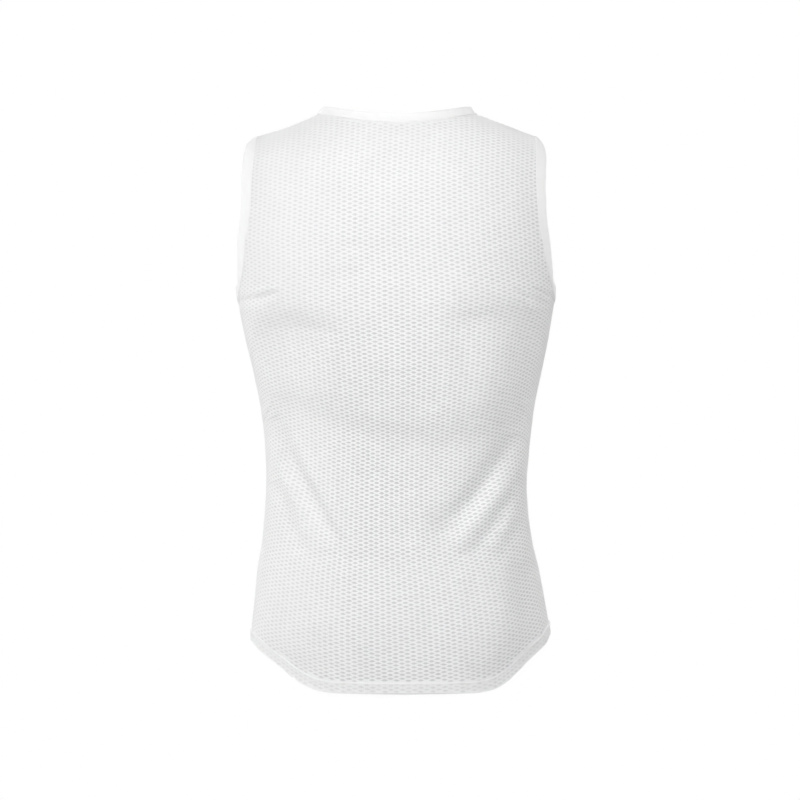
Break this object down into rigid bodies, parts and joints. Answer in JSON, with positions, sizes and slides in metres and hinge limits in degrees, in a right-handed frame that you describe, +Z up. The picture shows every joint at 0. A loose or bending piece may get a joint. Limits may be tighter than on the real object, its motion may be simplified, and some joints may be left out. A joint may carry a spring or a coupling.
{
  "type": "sleeveless base layer",
  "caption": "Sleeveless open-mesh sports base layer in its hollow worn shape, with bound neck and armholes and a dropped, curved hem at the back.",
  "frame": {"origin": "midway between the two shoulder seams, at the level where the shoulders carry the garment", "axes": "+Z up, -Y the way the wearer faces, so the back panel is on the +Y side, and +X the wearer's left"},
  "size_m": [0.3598, 0.2348, 0.6532],
  "materials": {
    "back": "white open mesh knit, matt",
    "front": "white open mesh knit, matt",
    "neckband": "white fine knit binding, matt",
    "armhole_band_left": "white fine knit binding, matt",
    "armhole_band_right": "white fine knit binding, matt",
    "hem": "white mesh knit turned up double, matt"
  },
  "bodies": {
    "root": {"back": "back", "front": "front", "neckband": "neckband", "armhole_band_left": "armhole_band_left", "armhole_band_right": "armhole_band_right", "hem": "hem"}
  },
  "joints": []
}
